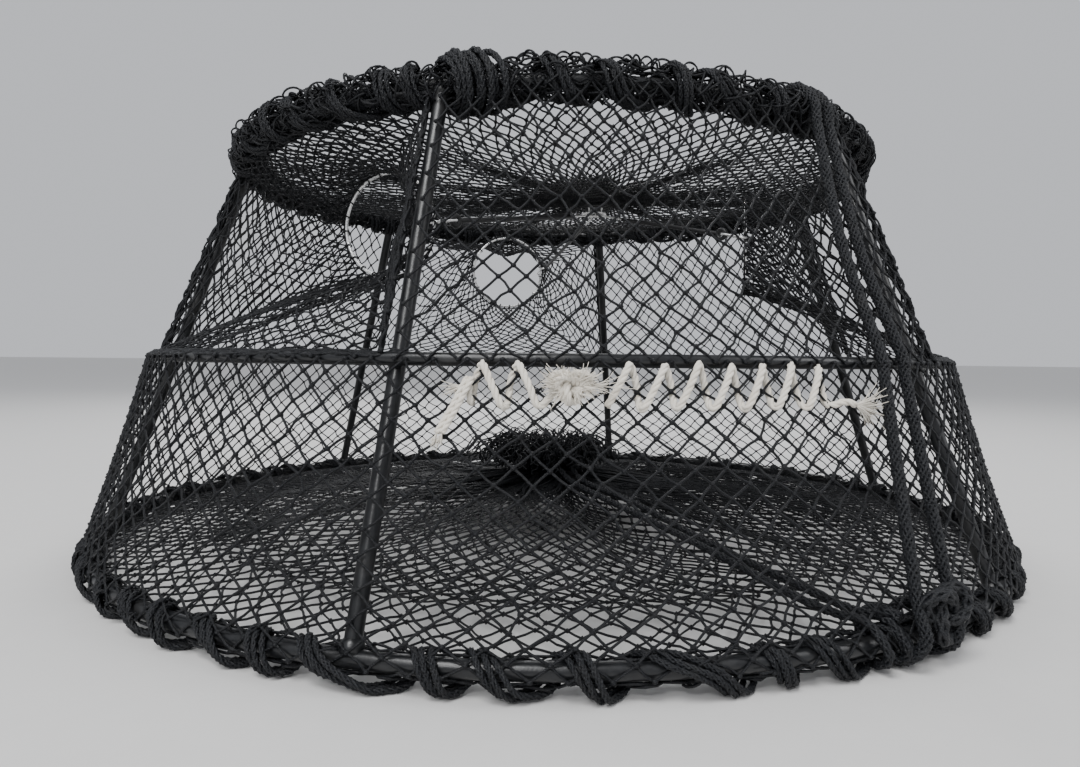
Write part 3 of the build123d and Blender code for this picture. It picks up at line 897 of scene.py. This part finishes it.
def rot_cord():
    """The cotton that laces the escape slit: stitches, a loose end and a frayed knot."""
    strands = Strands()
    peaks = np.linspace(-9.3, 8.9, 7)
    route = []
    for k, peak in enumerate(peaks):
        route += stitch(peak - 1.95, peak, peak + 0.85, 0.7 * math.sin(2.3 * k), 1)
    route += [on_skirt(11.2, 21, 2.4), on_skirt(12.1, 22.5, 4.0)]
    twist(strands, smooth_path(route, 1.0 * MM), cotton)
    frayed = rightward(math.radians(12)) - np.array([0, 0, 0.18])
    for k, tilt in enumerate((-0.3, -0.12, 0.1, 0.3)):
        fray(strands, route[-1], [frayed + np.array([0, 0, tilt])], 19 * MM, 0.1, 26, 71 + k)
    strands.piece("rot_cord_stitches", "cotton_cord", replaces=["rot_cord_lacing"])

    strands = Strands()
    left = [on_skirt(-15.5, 16, 2.2)]
    for b in (-18.4, -21.4):
        left += stitch(b + 1.7, b, b - 0.9, 0, -1)
    left += [on_skirt(-22.6, 9, 3.2)]
    tail = [left[-1], on_skirt(-22.9, 13, 4.4), on_skirt(-23.7, 24, 4.2), on_skirt(-24.7, 36, 4.0)]
    twist(strands, smooth_path(left, 1.0 * MM), cotton)
    for k, aside in enumerate((0, 2.6 * MM)):
        shift = rightward(math.radians(-23)) * aside
        twist(strands, smooth_path([point + shift for point in tail], 1.0 * MM), 0.85 * cotton,
              phase=1.3 * k)
        fray(strands, tail[-1] + shift, [np.array([-0.35, -0.1, -1.0])], 6 * MM, 0.14, 30, 75 + k)
    fray(strands, tail[1], [-rightward(math.radians(-22)) - np.array([0, 0, 0.5])], 9 * MM, 0.16, 26, 78)
    strands.piece("rot_cord_end", "cotton_cord", replaces=["rot_cord_tail"])

    strands = Strands()
    centre = on_skirt(-14.2, 12, 9)
    twist(strands, knot_path(centre, math.radians(-14), (20 * MM, 12 * MM, 17 * MM), step=1.0 * MM), cotton)
    twist(strands, knot_path(centre + [0, 0, -1 * MM], math.radians(20), (17 * MM, 13 * MM, 15 * MM),
                             step=1.0 * MM), cotton)
    right, out = rightward(math.radians(-14)), outward(math.radians(-14))
    rng = np.random.default_rng(74)
    for k in range(18):
        angle = 2 * math.pi * (k + rng.uniform(-0.3, 0.3)) / 18
        way = 1.5 * math.cos(angle) * right + 0.75 * math.sin(angle) * up + rng.uniform(0.1, 0.7) * out
        length = (5.5 + 5 * abs(math.cos(angle))) * MM
        fray(strands, centre + 4 * MM * unit(way), [way], length, 0.22, 20, 80 + k)
    fray(strands, centre + 7 * MM * right, [right - 0.12 * up], 20 * MM, 0.1, 12, 99)
    strands.piece("rot_cord_pompom", "cotton_cord", replaces=["rot_cord_knot"])


# --- carried-over CAD parts, stage, light and camera -----------------------------------------------
def finish_cad_parts():
    """Give every node that comes from the frame the finish of its slot."""
    slots = {entry["node"]: entry["material_slot"] for entry in frame["record"]["subparts"]}
    for name, node in frame["nodes"].items():
        node.data.materials.clear()
        node.data.materials.append(finishes[slots[name]])


def plain_material(name, colour, rough):
    finish = Finish(name, Roughness=rough)
    speck = finish.noise(60, 4)
    finish.colour(finish.mix(speck * 0.35, colour, tuple(0.88 * c for c in colour)))
    return finish.material


def stage():
    bpy.ops.mesh.primitive_plane_add(size=120, location=(0, 0, 0))
    floor = bpy.context.object
    floor.name = "floor"
    floor.data.materials.append(plain_material("pale_floor", (0.66, 0.655, 0.645), 0.85))


def area_light(name, place, target, size, power):
    """A soft round lamp that faces a target."""
    light = bpy.data.lights.new(name, "AREA")
    light.shape, light.size, light.energy = "DISK", size, power
    lamp = bpy.data.objects.new(name, light)
    bpy.context.scene.collection.objects.link(lamp)
    lamp.location = place
    lamp.rotation_euler = (Vector(target) - Vector(place)).to_track_quat("-Z", "Y").to_euler()


def lights():
    """An even sky with a key, a fill, a rim and a small glint for the wire and the dip."""
    world = bpy.data.worlds.new("soft_sky")
    bpy.context.scene.world = world
    world.use_nodes = True
    sky = world.node_tree.nodes["Background"]
    sky.inputs["Color"].default_value = (0.93, 0.95, 1.0, 1)
    sky.inputs["Strength"].default_value = 0.7
    centre = (0, 0, 0.16)
    area_light("key", (-1.0, -1.2, 2.2), centre, 1.1, 48)
    area_light("fill", (1.7, -1.0, 1.3), centre, 1.3, 14)
    area_light("rim", (0.4, 1.9, 1.5), centre, 1.2, 22)
    area_light("glint", (-0.9, -1.5, 1.1), centre, 0.25, 9)


def camera():
    """Level with the middle ring, close in, a little left of the front panel."""
    heading, aim, dip, roll = (math.radians(a) for a in (16.0, 0.63, 1.84, 0.57))
    distance = 1.8636 * large_radius
    lens = bpy.data.cameras.new("camera")
    lens.sensor_width, lens.lens, lens.clip_start = 36.0, 24.37, 0.01
    eye = bpy.data.objects.new("camera", lens)
    bpy.context.scene.collection.objects.link(eye)
    eye.location = (-distance * math.sin(heading), -distance * math.cos(heading), mid_level)
    look = Vector((math.sin(heading - aim) * math.cos(dip), math.cos(heading - aim) * math.cos(dip),
                   -math.sin(dip)))
    turn = look.to_track_quat("-Z", "Y").to_matrix() @ Matrix.Rotation(roll, 3, "Z")
    eye.rotation_euler = turn.to_euler()
    bpy.context.scene.camera = eye


camera()
finish_cad_parts()
side_nets()
base_net()
top_net()
gathers()
entrances()
lashings()
side_ropes()
rope_knots()
purse_ropes()
neck_ties()
rot_cord()
stage()
lights()
